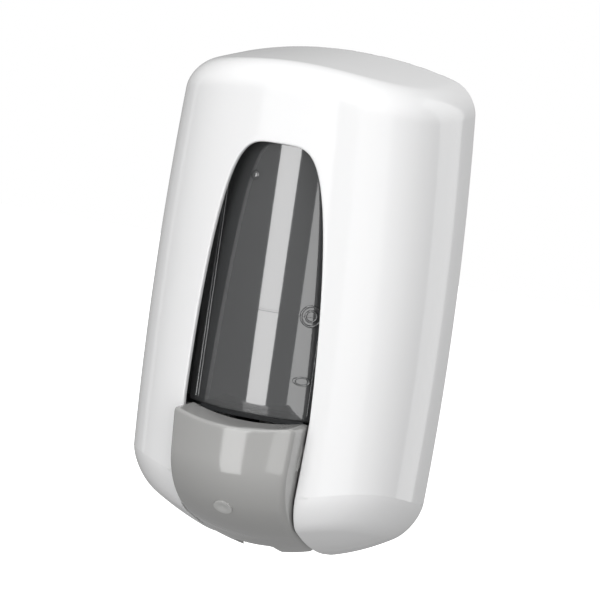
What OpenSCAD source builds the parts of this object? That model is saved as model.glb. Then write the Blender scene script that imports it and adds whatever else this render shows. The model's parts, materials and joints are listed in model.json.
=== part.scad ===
// Wall mounted soap dispenser with a refillable tank, a push pad and a lift-up cover.
// X runs along the wall, +Z is up and the object stands out from the wall towards -Y.
// The origin lies on the wall plane. "Depth" means the distance from the wall.

/* [Cover] */
// Greatest width of the cover
body_w = 132; // [120:1:140]
// Depth of the cover at its widest level
body_d = 83; // [80:0.5:90]
// Height of the middle of the top edge above the origin
top_z = 119.5; // [116:0.5:124]
// Height of the middle of the lower back edge
bottom_z = -117; // [-122:0.5:-115]
// Wall thickness of the cover
cover_wall = 3; // [2.5:0.1:3.2]
// Radius of the rounded top and bottom edges
edge_r = 11.6; // [9:0.1:14]
// How much the top edge drops 60 mm to the side of the middle
top_dome = 10.8; // [8:0.1:13]
// How much the bottom edge climbs 60 mm to the side of the middle
bottom_dome = 21.8; // [18:0.1:24]
// Fall of the top face towards the front
top_fall = 0.1; // [0.05:0.01:0.12]
// Climb of the bottom face at the wall
bottom_climb = 0.134; // [0.12:0.002:0.15]
// How fast that climb grows towards the front
bottom_curve = 0.00267; // [0.0024:0.00001:0.0028]

/* [Window slot] */
// Width of the arched slot
slot_w = 58.2; // [54:0.2:60]
// Top of the arch
slot_top_z = 76.3; // [70:0.1:80]
// Level where the arch starts
slot_low_z = -40.3; // [-44:0.1:-38]
// Narrowing of each side per millimetre below that level
slot_taper = 0.056; // [0.04:0.002:0.06]

/* [Cover hinge] */
// Depth of the hinge rod
hinge_d = 9; // [9:0.1:10]
// Height of the hinge rod
hinge_z = 110.8; // [110:0.1:111.5]
// Radius of the hinge rod
hinge_r = 1.5; // [1.5:0.1:1.7]

/* [Wall plate] */
// Thickness of the wall plate
plate_t = 4; // [3.5:0.1:4.5]
// Spacing of the wall screws across the plate
screw_span_x = 102; // [98:1:104]
// Spacing of the wall screws up the plate
screw_span_z = 150; // [140:1:154]
// Height of the middle of the screw pattern
screw_mid_z = 7; // [5:1:8]
// Radius of each wall screw hole
screw_hole_r = 2.5; // [2.2:0.1:2.8]

/* [Tank] */
// Half width of the tank
tank_half_w = 46; // [42:0.5:48]
// Height of the tank's top rim
tank_top_z = 92; // [88:1:93]
// Height of the tank's underside
tank_low_z = -42; // [-43:0.5:-41.5]
// Wall thickness of the tank
tank_wall = 2; // [1.6:0.1:2.4]
// Half width of the bay that shows in the slot
bay_half_w = 31; // [29:0.5:31]
// Depth of the bay's front at its middle
bay_front_d = 80; // [77:0.5:80.5]
// Bow of the bay's front
bay_bow = 10.9; // [10:0.1:11]

/* [Push pad] */
// Depth of the pad's front at its middle
pad_front_d = 102.5; // [98:0.5:104]
// Bow of the pad's front
pad_bow = 7; // [5:0.5:8]
// Height of the pad's top corners
pad_top_z = -41.7; // [-43:0.1:-41.5]
// Dip of the pad's top edge at its middle
pad_dip = 3; // [2:0.1:4]
// Wall thickness of the pad
pad_wall = 3; // [2.5:0.1:3]
// Side gap between the pad and the slot
pad_gap = 1; // [0.8:0.1:1.2]
// Depth of the pad's pivot
pivot_d = 66; // [65:0.5:67]
// Height of the pad's pivot
pivot_z = -50; // [-51:0.5:-49.5]

/* [Pump] */
// Height of the pump's axis
pump_z = -80; // [-81:0.5:-79]
// Radius of the pump's bore
bore_r = 8; // [7.8:0.1:8.1]
// Depth of the tank spout and the inlet valve
inlet_d = 28; // [27:0.5:29]
// Depth of the outlet and the nozzle
outlet_d = 22; // [21:0.5:23]

/* [Lock] */
// Distance of the lock from the middle
lock_x = 43; // [42:0.5:44]
// Depth of the lock
lock_d = 24; // [23.5:0.5:24.5]

/* [Hidden] */
$fn = 48;

// Clearances
run_gap = 0.05;      // radial gap of a shaft that turns or slides
fixed_gap = 0.02;    // radial gap between pieces that stay together
wall_gap = 0.5;      // gap between the cover's rim and the wall
rim_gap = 1;         // gap between the wall plate and the cover

// Shape of the cover
belly_z = -20;       // level of the greatest width
half_h = 112;        // length that the barrel and the lean are counted over
barrel = 0.065;      // share of the width lost over half_h
lean = 0.06;         // share of the depth gained over half_h
side_power = 3.5;    // how square the plan outline is across
front_power = 3.2;   // how square the plan outline is in depth
heel_r = hinge_d - 0.3;          // rounding of the top back edge, so that it can turn
heel_inner_r = heel_r - 2.5;

function level(z) = (z - belly_z) / half_h;
function plan_w(z) = body_w / 2 * (1 - barrel * pow(level(z), 2));
function plan_d(z) = body_d * (1 + lean * level(z));
function top_face(x, d) = top_z - top_dome * pow(x / 60, 2) - top_fall * d;
function bottom_rise(d) = bottom_climb * d + bottom_curve * d * d;
function bottom_face(x, d) = bottom_z + bottom_dome * pow(x / 60, 2) + bottom_rise(d);
function slot_half(z) = z > slot_low_z
    ? slot_w / 2 * pow(max(0, 1 - pow((z - slot_low_z) / (slot_top_z - slot_low_z), 1.65)), 0.23)
    : slot_w / 2 - slot_taper * (slot_low_z - z);

// Columns of the cover's grid: [across, depth] on a unit outline, from the right edge
// of the wall round the front to the left edge.
side_steps = [0, 3, 6, 9.5, 14];
turn_steps = 15;
function side_column(d) = [pow(1 - pow(d / body_d, front_power), 1 / side_power), d / body_d];
function turn_column(a) = [pow(cos(a), 2 / side_power), pow(sin(a), 2 / front_power)];
right_columns = concat(
    [for (d = side_steps) side_column(d)],
    [for (i = [0 : turn_steps - 1]) turn_column(7 + (90 - 7) * i / turn_steps)]);
columns = concat(right_columns, [[0, 1]],
    [for (i = [len(right_columns) - 1 : -1 : 0]) [-right_columns[i][0], right_columns[i][1]]]);

// Rows of the grid: [place between the rounded edges, angle round an edge, share of the face]
edge_steps = 5;
face_shares = [0.8, 0.6, 0.42, 0.26, 0.15, 0.085, 0.045, 0.02];
rows = concat(
    [for (i = [len(face_shares) - 1 : -1 : 0]) [0, -90, face_shares[i]]],
    [for (i = [edge_steps : -1 : 1]) [0, -90 * i / edge_steps, 1]],
    [for (i = [0 : 8]) [i / 8, 0, 1]],
    [for (i = [1 : edge_steps]) [1, 90 * i / edge_steps, 1]],
    [for (s = face_shares) [1, 90, s]]);

// Height where the rounded edge starts, above or below a column
function edge_z(c, up) =
    let (z0 = up > 0 ? top_z - edge_r : bottom_z + edge_r,
        x = plan_w(z0) * c[0],
        d = plan_d(z0) * c[1])
    up > 0 ? top_face(x, d) - edge_r : bottom_face(x, d) + edge_r;

// Keeps the top back edge within reach of the hinge, so that it turns clear of the wall
function heel(p, r) =
    let (v = [p[1] - hinge_d, p[2] - hinge_z], reach = norm(v))
    (v[0] < 0 && v[1] > 0 && reach > r)
        ? [p[0], p[1], hinge_z + sqrt(max(0, r * r - v[0] * v[0]))]
        : p;

// A point of the cover's skin, "inset" inside the outer face, as [x, depth, z]
function skin_point(c, row, inset) =
    let (low = edge_z(c, -1),
        high = edge_z(c, 1),
        up = row[1] >= 0 ? 1 : -1,
        a = abs(row[1]),
        z0 = row[1] == 0 ? low + (high - low) * row[0] : (up > 0 ? high : low),
        r = edge_r - inset,
        shrink = inset + r * (1 - cos(a)),
        x = (plan_w(z0) - shrink) * c[0] * row[2],
        d = wall_gap + (plan_d(z0) - wall_gap - shrink) * c[1] * row[2],
        z = row[1] == 0 ? z0
            : up > 0 ? top_face(x, d) - inset - r * (1 - sin(a))
            : bottom_face(x, d) + inset + r * (1 - sin(a)))
    heel([x, d, z], inset > 0 ? heel_inner_r : heel_r);

function world(p) = [p[0], -p[1], p[2]];

// The cover's skin: an outer and an inner grid, joined by the rim at the wall
module skin() {
    nr = len(rows);
    nc = len(columns);
    points = [for (inset = [0, cover_wall]) for (row = rows) for (c = columns)
        world(skin_point(c, row, inset))];
    outer = [for (r = [0 : nr - 2]) for (c = [0 : nc - 2])
        let (a = r * nc + c, b = a + 1, u = a + nc, v = u + 1) each [[a, b, u], [b, v, u]]];
    inner_0 = nr * nc;
    inner = [for (f = outer) [f[0] + inner_0, f[2] + inner_0, f[1] + inner_0]];
    rim = [for (r = [0 : nr - 2])
        let (a = r * nc, b = a + nc, e = a + nc - 1, g = b + nc - 1)
        each [[a, b, a + inner_0], [b, b + inner_0, a + inner_0],
            [e, e + inner_0, g], [g, e + inner_0, g + inner_0]]];
    last = (nr - 1) * nc;
    ends = [
        each [for (c = [1 : nc - 2]) each [[0, c + 1, c], [last, last + c, last + c + 1]]],
        each [for (c = [1 : nc - 2]) each [
            [inner_0, inner_0 + c, inner_0 + c + 1],
            [inner_0 + last, inner_0 + last + c + 1, inner_0 + last + c]]],
        [0, inner_0, nc - 1], [nc - 1, inner_0, inner_0 + nc - 1],
        [last, last + nc - 1, last + inner_0],
        [last + nc - 1, last + inner_0 + nc - 1, last + inner_0]];
    polyhedron(points, concat(outer, inner, rim, ends), convexity = 8);
}

// Helpers that place an outline
module along_x(x0, x1) {
    translate([x1, 0, 0]) rotate([90, 0, -90]) linear_extrude(x1 - x0) children();
}
module in_depth(d0, d1) {
    translate([0, -d0, 0]) rotate([90, 0, 0]) linear_extrude(d1 - d0) children();
}
module rod_x(x0, x1, d, z, r) {
    translate([x0, -d, z]) rotate([0, 90, 0]) cylinder(h = x1 - x0, r = r);
}
module rod_y(d0, d1, x, z, r) {
    translate([x, -d0, z]) rotate([90, 0, 0]) cylinder(h = d1 - d0, r = r);
}
module rod_z(z0, z1, x, d, r) {
    translate([x, -d, z0]) cylinder(h = z1 - z0, r = r);
}
module block(x0, x1, d0, d1, z0, z1) {
    translate([x0, -d1, z0]) cube([x1 - x0, d1 - d0, z1 - z0]);
}
module both_sides() {
    children();
    mirror([1, 0, 0]) children();
}
// A screw along Y: a shank from d0 to d1 and a head in front of it
module screw_y(x, z, d0, d1, shank_r, head_r, head_h) {
    rod_y(d0, d1, x, z, shank_r);
    difference() {
        rod_y(d1, d1 + head_h, x, z, head_r);
        block(x - head_r, x + head_r, d1 + head_h / 2, d1 + head_h + 1, z - 0.4, z + 0.4);
    }
}

// Cover -----------------------------------------------------------------------------
slot_steps = 24;
slot_floor_z = bottom_z - 5;
slot_side = concat(
    [[slot_half(slot_floor_z), slot_floor_z]],
    [for (i = [0 : slot_steps])
        let (u = 1 - pow(1 - i / slot_steps, 3))
        [slot_half(slot_low_z + (slot_top_z - slot_low_z) * u),
            slot_low_z + (slot_top_z - slot_low_z) * u]]);
module slot_outline() {
    polygon(concat(slot_side,
        [for (i = [len(slot_side) - 2 : -1 : 0]) [-slot_side[i][0], slot_side[i][1]]]));
}

knuckle_x0 = 14;
knuckle_x1 = 20;
knuckle_r = 3.3;
arm_x0 = 8;
arm_x1 = 13.5;
arm_r = 3.2;
notch_d = 5.9;

pocket_r = 7.5;
lock_seat_z = -93;
lock_boss_top_z = -85;
lock_boss_r = 10;
lock_r = 6;

module hinge_knuckle() {
    rod_x(knuckle_x0, knuckle_x1, hinge_d, hinge_z, knuckle_r);
    block(knuckle_x0, knuckle_x1, hinge_d - 2.5, hinge_d + knuckle_r, hinge_z, hinge_z + 5);
}
module in_left_wing() {
    mirror([1, 0, 0]) children();
}
// The boss ends inside the skin, on a plane that follows the bottom face
module lock_boss() {
    slope_x = 2 * bottom_dome * lock_x / 3600;
    tilt_y = atan(slope_x);
    slope_d = bottom_climb + 2 * bottom_curve * lock_d;
    tilt_x = atan(slope_d * cos(tilt_y));
    difference() {
        rod_z(bottom_z, lock_boss_top_z, lock_x, lock_d, lock_boss_r);
        translate([lock_x, -lock_d, bottom_face(lock_x, lock_d) + cover_wall / 2])
            rotate([-tilt_x, -tilt_y, 0]) translate([-30, -30, -60]) cube([60, 60, 60]);
    }
}
module cover() {
    color([0.93, 0.93, 0.93]) difference() {
        union() {
            difference() {
                skin();
                in_depth(-5, pad_front_d) slot_outline();
            }
            both_sides() hinge_knuckle();
            in_left_wing() lock_boss();
        }
        both_sides() rod_x(knuckle_x0 - 1, knuckle_x1 + 1, hinge_d, hinge_z, hinge_r + run_gap);
        both_sides() block(arm_x0 - 1, arm_x1 + 1, -1, notch_d, hinge_z - 12, top_z + 1);
        in_left_wing() rod_z(bottom_z - 5, lock_seat_z, lock_x, lock_d, pocket_r);
        in_left_wing() rod_z(lock_seat_z - 1, lock_boss_top_z + 1, lock_x, lock_d, lock_r);
    }
}

// Wall plate ------------------------------------------------------------------------
plate_top_z = 101;
plate_shoulder_x = 52;
// The plate follows the cover's rim, raised at the bottom by what the cover climbs over
// the plate's thickness
plate_inset = cover_wall + rim_gap;
function plate_point(row) =
    let (p = skin_point(columns[0], row, plate_inset))
    [p[0], p[2] + (row[1] < 0 ? bottom_rise(plate_t) : 0)];
plate_edge = concat(
    [[0, bottom_face(0, plate_t) + plate_inset]],
    [for (row = rows) if (row[1] <= 0) plate_point(row)],
    [[plate_shoulder_x, plate_top_z]]);
module plate_outline() {
    polygon(concat(plate_edge,
        [for (i = [len(plate_edge) - 1 : -1 : 1]) [-plate_edge[i][0], plate_edge[i][1]]]));
}
module hinge_arm() {
    rod_x(arm_x0, arm_x1, hinge_d, hinge_z, arm_r);
    along_x(arm_x0, arm_x1)
        polygon([[0, 94], [plate_t, 94], [hinge_d + 1.6, hinge_z - 2.7],
            [hinge_d - 2.25, hinge_z - 2.25], [0, plate_top_z - 2]]);
}
module back_plate() {
    rest_z = 60;
    rib_d = 7;
    color([0.9, 0.9, 0.89]) difference() {
        union() {
            in_depth(0, plate_t) plate_outline();
            both_sides() hinge_arm();
            // Pads that steady the tank
            both_sides() rod_y(plate_t - 0.1, 9.8, 30, rest_z, 5);
            both_sides() rod_y(plate_t - 0.1, 9.8, 30, -rest_z / 2, 5);
            // Stiffening ribs beside the tank
            both_sides() block(56.2, 57.7, plate_t - 0.1, rib_d, -50, 60);
        }
        for (x = [-1, 1]) for (z = [-1, 1])
            rod_y(-1, plate_t + 1, x * screw_span_x / 2, screw_mid_z + z * screw_span_z / 2,
                screw_hole_r);
        both_sides() rod_x(arm_x0 - 1, arm_x1 + 1, hinge_d, hinge_z, hinge_r + fixed_gap);
        for (s = bracket_screw_at) rod_y(-1, plate_t + 1, s[0], s[1], small_screw_r + fixed_gap);
        in_left_wing() for (s = keeper_screw_at)
            rod_y(-1, plate_t + 1, s[0], s[1], small_screw_r + fixed_gap);
    }
}

// Cover hinge and its clips ---------------------------------------------------------
rod_end_x = knuckle_x1 + 2.6;
clip_x = knuckle_x1 + 0.8;
module hinge_rod() {
    color([0.75, 0.76, 0.78]) difference() {
        rod_x(-rod_end_x, rod_end_x, hinge_d, hinge_z, hinge_r);
        both_sides() difference() {
            rod_x(clip_x - 0.1, clip_x + 0.9, hinge_d, hinge_z, hinge_r + 1);
            rod_x(clip_x - 0.2, clip_x + 1, hinge_d, hinge_z, hinge_r - 0.35);
        }
    }
}
module hinge_clips() {
    color([0.55, 0.56, 0.58]) both_sides() difference() {
        rod_x(clip_x, clip_x + 0.8, hinge_d, hinge_z, 2.7);
        rod_x(clip_x - 1, clip_x + 2, hinge_d, hinge_z, hinge_r - 0.33);
        block(clip_x - 1, clip_x + 2, hinge_d - 0.9, hinge_d + 0.9, hinge_z - 4, hinge_z);
    }
}

// Bracket that carries the tank, the pump and the pad -------------------------------
small_screw_r = 1.5;
bracket_screw_at = [[-20, -72], [20, -72]];
shelf_t = 3;
shelf_low_z = tank_low_z - shelf_t;
flange_d = plate_t + 3;
ear_x0 = 20.5;
ear_x1 = 23.8;
pin_r = 2;
module pump_bracket() {
    color([0.86, 0.86, 0.86]) difference() {
        union() {
            block(-24, 24, plate_t, flange_d, -98, tank_low_z);
            block(-44, 44, plate_t, 62, shelf_low_z, tank_low_z);
            block(-ear_x1, ear_x1, 61, 72, shelf_low_z, tank_low_z);
            both_sides() along_x(ear_x0, ear_x1) union() {
                polygon([[pivot_d - 5.5, shelf_low_z + 0.1], [pivot_d + 4.5, shelf_low_z + 0.1],
                    [pivot_d + 4.5, pivot_z], [pivot_d - 4.5, pivot_z]]);
                translate([pivot_d, pivot_z]) circle(r = 4.5);
            }
            both_sides() along_x(17.2, 19.4)
                polygon([[flange_d - 0.1, shelf_low_z + 0.1], [56, shelf_low_z + 0.1],
                    [flange_d - 0.1, -66]]);
        }
        rod_z(shelf_low_z - 1, tank_low_z + 1, 0, inlet_d, 9);
        both_sides() rod_x(ear_x0 - 1, ear_x1 + 1, pivot_d, pivot_z, pin_r + run_gap);
        for (s = bracket_screw_at) rod_y(0, flange_d + 1, s[0], s[1], small_screw_r + fixed_gap);
        for (s = pump_screw_at) rod_z(shelf_low_z - 1, tank_low_z + 1, s[0], s[1],
            small_screw_r + fixed_gap);
    }
}
module bracket_screws() {
    color([0.7, 0.71, 0.73])
        for (s = bracket_screw_at) screw_y(s[0], s[1], 0.6, flange_d, small_screw_r, 3, 1.8);
}

// Tank ------------------------------------------------------------------------------
tank_rear_d = 10;
tank_front_d = 62;
arc_steps = 5;
function arc(cx, cd, r, a0, a1) =
    [for (i = [0 : arc_steps]) let (a = a0 + (a1 - a0) * i / arc_steps)
        [cx + r * cos(a), cd + r * sin(a)]];
bay_r = (pow(bay_half_w, 2) + pow(bay_bow, 2)) / (2 * bay_bow);
function tank_side(inset) = concat(
    arc(tank_half_w - 6, tank_rear_d + 6, 6 - inset, -90, 0),
    arc(tank_half_w - 8, tank_front_d - 8, 8 - inset, 0, 90),
    [[bay_half_w - inset, tank_front_d - inset]],
    [for (i = [8 : -1 : 0])
        let (x = (bay_half_w - inset) * i / 8)
        [x, bay_front_d - bay_r + sqrt(pow(bay_r - inset, 2) - x * x)]]);
module tank_outline(inset) {
    side = tank_side(inset);
    polygon([for (p = concat(side,
        [for (i = [len(side) - 2 : -1 : 0]) [-side[i][0], side[i][1]]])) [p[0], -p[1]]]);
}
module tank_slice(z0, z1, inset) {
    translate([0, 0, z0]) linear_extrude(z1 - z0) tank_outline(inset);
}
spout_r = 6.5;
spout_low_z = -56.5;
module tank() {
    color([0.3, 0.31, 0.32, 0.6]) difference() {
        union() {
            tank_slice(tank_low_z, tank_top_z, 0);
            rod_z(spout_low_z, tank_low_z + 1, 0, inlet_d, spout_r);
        }
        tank_slice(tank_low_z + 3, tank_top_z + 1, tank_wall);
        rod_z(spout_low_z - 1, tank_low_z + 4, 0, inlet_d, spout_r - 2);
    }
}
gasket_t = 1;
lid_t = 3;
lid_low_z = tank_top_z + gasket_t;
lid_top_z = lid_low_z + lid_t;
plug_d = 36;
module lid_gasket() {
    color([0.25, 0.25, 0.25]) difference() {
        tank_slice(tank_top_z, lid_low_z, 0.2);
        tank_slice(tank_top_z - 1, lid_low_z + 1, tank_wall + 0.6);
    }
}
module tank_lid() {
    color([0.35, 0.36, 0.37, 0.8]) difference() {
        tank_slice(tank_top_z - 4, lid_top_z, -1.3);
        tank_slice(tank_top_z - 5, lid_low_z, -0.2);
        rod_z(lid_low_z - 1, lid_top_z + 1, 0, plug_d, 3);
    }
}
module vent_plug() {
    color([0.2, 0.2, 0.2]) difference() {
        union() {
            rod_z(lid_low_z - 1.5, lid_top_z, 0, plug_d, 3 - fixed_gap);
            rod_z(lid_top_z, lid_top_z + 1.5, 0, plug_d, 5);
        }
        rod_z(lid_low_z - 3, lid_top_z + 3, 0, plug_d, 0.8);
    }
}
module tank_catch() {
    nose_z = lid_top_z + 0.4;
    color([0.88, 0.88, 0.88]) along_x(-6, 6)
        polygon([[plate_t, 66], [plate_t + 2, 66], [plate_t + 2, nose_z - 1.5], [plate_t + 3, nose_z],
            [13, nose_z], [14, nose_z + 0.8], [plate_t + 3, nose_z + 3.6], [plate_t, nose_z + 3.6]]);
}

// Pump ------------------------------------------------------------------------------
pump_rear_d = 14;
thread_d = 44;
pump_front_d = 52;
pump_wall = 3;
inlet_low_z = -66.6;
pump_screw_at = [[-12.6, inlet_d], [12.6, inlet_d]];
port_low_z = -97;
module pump_body() {
    color([0.9, 0.9, 0.88]) difference() {
        union() {
            rod_y(pump_rear_d, thread_d, 0, pump_z, bore_r + pump_wall);
            rod_y(thread_d - 0.1, pump_front_d, 0, pump_z, bore_r + 2.2);
            rod_z(pump_z + 2, shelf_low_z, 0, inlet_d, 10);
            block(-15.5, 15.5, inlet_d - 8, inlet_d + 8, shelf_low_z - 3, shelf_low_z);
            rod_z(port_low_z, pump_z - 2, 0, outlet_d, 6);
        }
        rod_y(pump_rear_d + 4, pump_front_d + 1, 0, pump_z, bore_r);
        rod_z(inlet_low_z, shelf_low_z + 1, 0, inlet_d, bore_r);
        for (a = [45 : 90 : 315])
            rod_z(pump_z + 3, inlet_low_z + 1, 4.8 * cos(a), inlet_d + 4.8 * sin(a), 1.3);
        rod_z(port_low_z - 1, pump_z - 3, 0, outlet_d, 2.5);
        for (s = pump_screw_at)
            rod_z(shelf_low_z - 4, shelf_low_z + 1, s[0], s[1], small_screw_r + 0.2);
    }
}
module pump_screws() {
    color([0.7, 0.71, 0.73]) for (s = pump_screw_at) {
        rod_z(shelf_low_z - 3, tank_low_z - 0.3, s[0], s[1], small_screw_r);
        rod_z(shelf_low_z - 4.8, shelf_low_z - 3, s[0], s[1], 2.6);
    }
}
module outlet_seal() {
    color([0.15, 0.15, 0.15]) translate([0, -inlet_d, -50])
        rotate_extrude() translate([(spout_r + bore_r) / 2, 0])
            circle(r = (bore_r - spout_r) / 2 - run_gap);
}
ball_r = 3;
seat_low_z = -60;
module ball_seat() {
    color([0.8, 0.8, 0.78]) difference() {
        union() {
            rod_z(seat_low_z, seat_low_z + 3, 0, inlet_d, bore_r - fixed_gap);
            rod_z(seat_low_z - 5, seat_low_z + 0.5, 0, inlet_d, ball_r + 1.8);
        }
        rod_z(seat_low_z - 6, seat_low_z + 4, 0, inlet_d, 2.2);
        rod_z(seat_low_z - 6, seat_low_z, 0, inlet_d, ball_r + 0.4);
        block(-6, 6, inlet_d - 1, inlet_d + 1, seat_low_z - 6, seat_low_z - 1);
        block(-1, 1, inlet_d - 6, inlet_d + 6, seat_low_z - 6, seat_low_z - 1);
    }
}
module inlet_ball() {
    color([0.8, 0.81, 0.83]) translate([0, -inlet_d, inlet_low_z + ball_r + 0.05])
        sphere(r = ball_r);
}
cap_front_d = pump_front_d + 2;
rod_r = 4;
module pump_cap() {
    color([0.35, 0.36, 0.38]) difference() {
        union() {
            rod_y(thread_d + 0.2, cap_front_d, 0, pump_z, 12.6);
            for (a = [0 : 30 : 330]) translate([12.4 * cos(a), 0, pump_z + 12.4 * sin(a)])
                rod_y(thread_d + 0.2, cap_front_d - 1, 0, 0, 0.6);
        }
        rod_y(thread_d - 1, pump_front_d + 0.1, 0, pump_z, bore_r + 2.3);
        rod_y(thread_d, cap_front_d + 1, 0, pump_z, rod_r + 0.3);
    }
}
module rod_wiper() {
    color([0.2, 0.2, 0.2]) difference() {
        rod_y(pump_front_d - 2, pump_front_d, 0, pump_z, bore_r - fixed_gap);
        rod_y(pump_front_d - 3, pump_front_d + 1, 0, pump_z, rod_r + run_gap);
    }
}
piston_d = 41;
piston_t = 5;
head_d = 77.5;
head_t = 3.5;
head_r = 6.5;
groove_d = piston_d + 1.5;
module piston() {
    color([0.92, 0.92, 0.9]) difference() {
        union() {
            rod_y(piston_d, piston_d + piston_t, 0, pump_z, bore_r - 0.2);
            rod_y(piston_d + 1, head_d + 1, 0, pump_z, rod_r);
            rod_y(head_d, head_d + head_t, 0, pump_z, head_r);
        }
        difference() {
            rod_y(groove_d, groove_d + 2, 0, pump_z, bore_r + 1);
            rod_y(groove_d - 1, groove_d + 3, 0, pump_z, bore_r - 1.6);
        }
    }
}
module piston_seal() {
    color([0.15, 0.15, 0.15]) difference() {
        rod_y(groove_d + 0.05, groove_d + 1.95, 0, pump_z, bore_r - run_gap);
        rod_y(groove_d - 1, groove_d + 3, 0, pump_z, bore_r - 1.6 + fixed_gap);
    }
}
spring_turns = 6;
spring_steps = 16;
spring_sides = 8;
spring_r = 5.5;
wire_r = 0.65;
module return_spring() {
    d0 = cap_front_d + wire_r + 0.05;
    d1 = head_d - wire_r - 0.05;
    n = spring_turns * spring_steps;
    points = [for (i = [0 : n]) for (j = [0 : spring_sides - 1])
        let (a = 360 * i / spring_steps,
            b = 360 * j / spring_sides,
            r = spring_r + wire_r * cos(b))
        [r * cos(a), -(d0 + (d1 - d0) * i / n + wire_r * sin(b)), pump_z + r * sin(a)]];
    sides = [for (i = [0 : n - 1]) for (j = [0 : spring_sides - 1])
        let (k = (j + 1) % spring_sides, p = i * spring_sides, q = p + spring_sides)
        each [[p + j, p + k, q + j], [p + k, q + k, q + j]]];
    ends = [
        [for (j = [spring_sides - 1 : -1 : 0]) j],
        [for (j = [0 : spring_sides - 1]) n * spring_sides + j]];
    color([0.7, 0.71, 0.73]) polyhedron(points, concat(sides, ends), convexity = 8);
}
module outlet_valve() {
    color([0.85, 0.84, 0.8]) difference() {
        union() {
            rod_z(port_low_z - 1.5, port_low_z, 0, outlet_d, 5.6);
            translate([0, -outlet_d, port_low_z - 8]) cylinder(h = 6.6, r1 = 1.5, r2 = 3.2);
        }
        translate([0, -outlet_d, port_low_z - 6.5]) cylinder(h = 7, r1 = 0.6, r2 = 2.2);
        block(-0.2, 0.2, outlet_d - 1.2, outlet_d + 1.2, port_low_z - 9, port_low_z - 6);
    }
}
nozzle_flange_z = port_low_z - 3.2;
nozzle_tip_z = -108.6;
module nozzle() {
    color([0.6, 0.6, 0.6]) difference() {
        union() {
            rod_z(nozzle_flange_z, port_low_z - 1.6, 0, outlet_d, 5.9);
            translate([0, -outlet_d, nozzle_tip_z])
                cylinder(h = nozzle_flange_z - nozzle_tip_z + 0.5, r1 = 3, r2 = 4.8);
        }
        translate([0, -outlet_d, nozzle_tip_z - 0.5])
            cylinder(h = port_low_z - nozzle_tip_z, r1 = 1.9, r2 = 3.8);
    }
}
module nozzle_collar() {
    color([0.35, 0.36, 0.38]) difference() {
        rod_z(nozzle_flange_z - 1.6, port_low_z + 5, 0, outlet_d, 8.4);
        rod_z(nozzle_flange_z - 0.05, port_low_z + 6, 0, outlet_d, 6.1);
        rod_z(nozzle_flange_z - 3, port_low_z, 0, outlet_d, 5);
    }
}

// Push pad --------------------------------------------------------------------------
pad_half = 27;          // half width that the pad's bows are counted over
pad_edge_r = 2.5;
pad_straight_z = -60;   // the front is straight down to here
pad_turn_d = 58;        // the front has turned into the underside here
pad_rear_d = 28;
prong_front_d = 46;     // the tail is a thin prong on each side from here back
prong_h = 4.5;
prong_x0 = 9.3;         // half width of the notch for the nozzle
notch_front_d = 44.5;
ledge_rear_d = 82;
bend_steps = 10;
pad_side_steps = [0, 0.25, 0.5, 0.7, 0.85, 0.93, 0.97, 1];
function pad_x(share, z, inset) = share * (slot_half(min(z, slot_low_z)) - pad_gap - inset);
// Outline of the pad at one place across, as [depth, z]
function pad_profile(share, inset) =
    let (k = share * share,
        reach = max(0, (abs(share) * pad_half - (pad_half - pad_edge_r)) / pad_edge_r),
        edge = pad_edge_r * (1 - sqrt(max(0, 1 - reach * reach))),
        e = inset + (inset > 0 ? 0 : edge),
        front = pad_front_d - pad_bow * k - e,
        top = pad_top_z - pad_dip * (1 - k) - e,
        back = (inset > 0 ? pivot_d - 8 : ledge_rear_d - pad_bow * k),
        x = share * pad_half,
        p0 = [front, pad_straight_z],
        p1 = [front, -82 - 3.5 * (1 - k) + e],
        p2 = [pad_turn_d, bottom_face(x, pad_turn_d) + e],
        tail = inset > 0 ? pad_rear_d - 8 : pad_rear_d)
    concat(
        [[back, top], [front - 2, top], [front - 0.6, top - 0.6], [front, top - 2]],
        [for (i = [0 : bend_steps])
            let (t = i / bend_steps)
            (1 - t) * (1 - t) * p0 + 2 * t * (1 - t) * p1 + t * t * p2],
        [for (i = [1 : 3])
            let (d = pad_turn_d + (tail - pad_turn_d) * i / 3)
            [d, bottom_face(x, d) + e]]);
module pad_solid(inset) {
    shares = concat([for (i = [len(pad_side_steps) - 1 : -1 : 1]) -pad_side_steps[i]],
        pad_side_steps);
    rings = [for (s = shares) let (side = pad_profile(s, inset))
        [for (p = side) [pad_x(s, p[1], inset), -p[0], p[1]]]];
    m = len(rings[0]);
    n = len(rings);
    sides = [for (i = [0 : n - 2]) for (j = [0 : m - 1])
        let (k = (j + 1) % m, a = i * m, b = a + m)
        each [[a + j, b + j, a + k], [a + k, b + j, b + k]]];
    ends = [[for (j = [0 : m - 1]) j], [for (j = [m - 1 : -1 : 0]) (n - 1) * m + j]];
    polyhedron([for (ring = rings) each ring], concat(sides, ends), convexity = 6);
}
pad_arm_x1 = slot_half(pivot_z) - pad_gap - 0.1;
pad_arm_x0 = pad_arm_x1 - 2.6;
pusher_r = 3;
pusher_half = 2;
pusher_x = 5;
pusher_d = head_d + head_t + 0.3 + pusher_r;
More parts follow.
